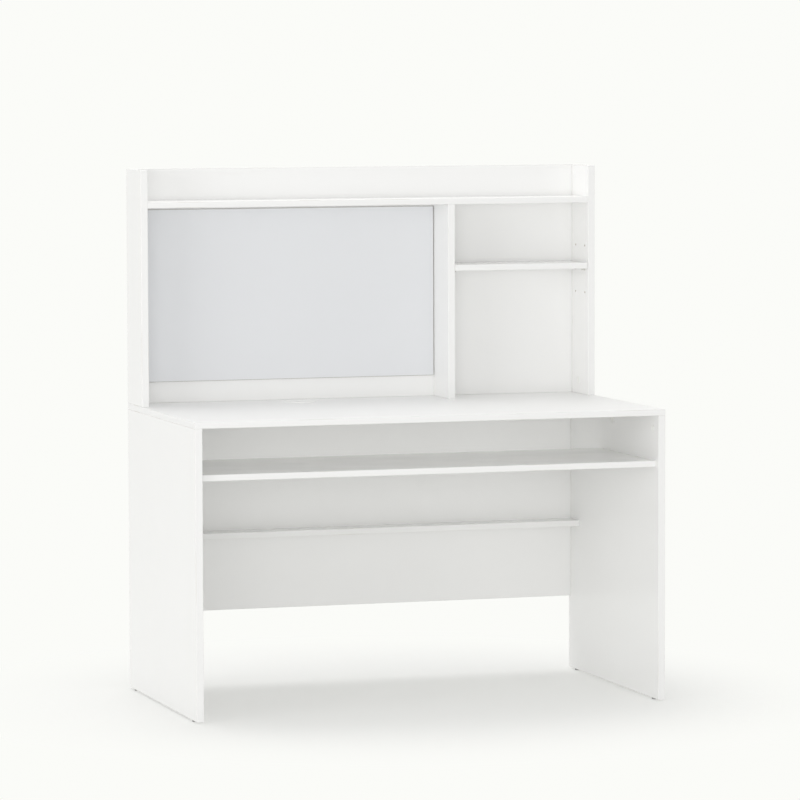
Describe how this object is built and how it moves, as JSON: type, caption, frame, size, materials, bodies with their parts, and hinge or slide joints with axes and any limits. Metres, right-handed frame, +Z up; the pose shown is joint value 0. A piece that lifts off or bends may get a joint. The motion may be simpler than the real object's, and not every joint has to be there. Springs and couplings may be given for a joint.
{
  "type": "student desk with hutch",
  "caption": "White flat-pack student desk with panel sides, keyboard shelf, modesty panel, rear ledge, cable grommet and a shallow hutch with shelves, divider and writing board.",
  "frame": {"origin": "on the floor, under the middle of the desk's outline", "axes": "+Z up, +X along the desk's width to the sitter's right, +Y from the sitter to the back; the open front faces -Y"},
  "size_m": [1.2, 0.65, 1.315],
  "materials": {
    "white_melamine": "white melamine-faced board with a fine satin texture",
    "writing_face": "smooth pale blue-grey coated writing face",
    "white_plastic": "moulded white plastic, lightly spark-eroded",
    "glide_plastic": "grey polyethylene",
    "plated_steel": "bright zinc-plated steel",
    "cast_zinc": "bare die-cast zinc",
    "beech": "fluted beech"
  },
  "bodies": {
    "desk": {"desk_top": "white_melamine", "left_side_panel": "white_melamine", "right_side_panel": "white_melamine", "keyboard_shelf": "white_melamine", "modesty_panel": "white_melamine", "rear_ledge": "white_melamine", "hutch_left_side": "white_melamine", "hutch_right_side": "white_melamine", "hutch_back_panel": "white_melamine", "hutch_top_shelf": "white_melamine", "hutch_divider": "white_melamine", "writing_board": "writing_face", "grommet_sleeve": "white_plastic", "cam_cover_caps": "white_plastic", "glide_front_left": "glide_plastic", "glide_rear_left": "glide_plastic", "glide_front_right": "glide_plastic", "glide_rear_right": "glide_plastic", "shelf_pin_front_left": "plated_steel", "shelf_pin_rear_left": "plated_steel", "shelf_pin_front_right": "plated_steel", "shelf_pin_rear_right": "plated_steel", "side_panel_cams": "cast_zinc", "modesty_cams": "cast_zinc", "keyboard_shelf_cams": "cast_zinc", "ledge_cams": "cast_zinc", "hutch_side_cams": "cast_zinc", "hutch_shelf_cams": "cast_zinc", "hutch_back_cams": "cast_zinc", "desk_cam_bolts": "plated_steel", "hutch_cam_bolts": "plated_steel", "desk_dowels": "beech", "hutch_dowels": "beech", "ledge_screws": "plated_steel", "hutch_back_screws": "plated_steel", "writing_board_screws": "plated_steel", "divider_screws": "plated_steel"},
    "small_shelf": {"hutch_small_shelf": "white_melamine"},
    "grommet_lid": {"grommet_cap": "white_plastic"}
  },
  "joints": [
    {"name": "small_shelf_draw", "type": "slide", "parent": "desk", "child": "small_shelf", "axis": [0, -1, 0], "range_m": [0, 0.125]},
    {"name": "grommet_cap_turn", "type": "hinge", "parent": "desk", "child": "grommet_lid", "pos_m": [-0.178, 0.226, 0.725], "axis": [0, 0, 1], "continuous": true}
  ]
}
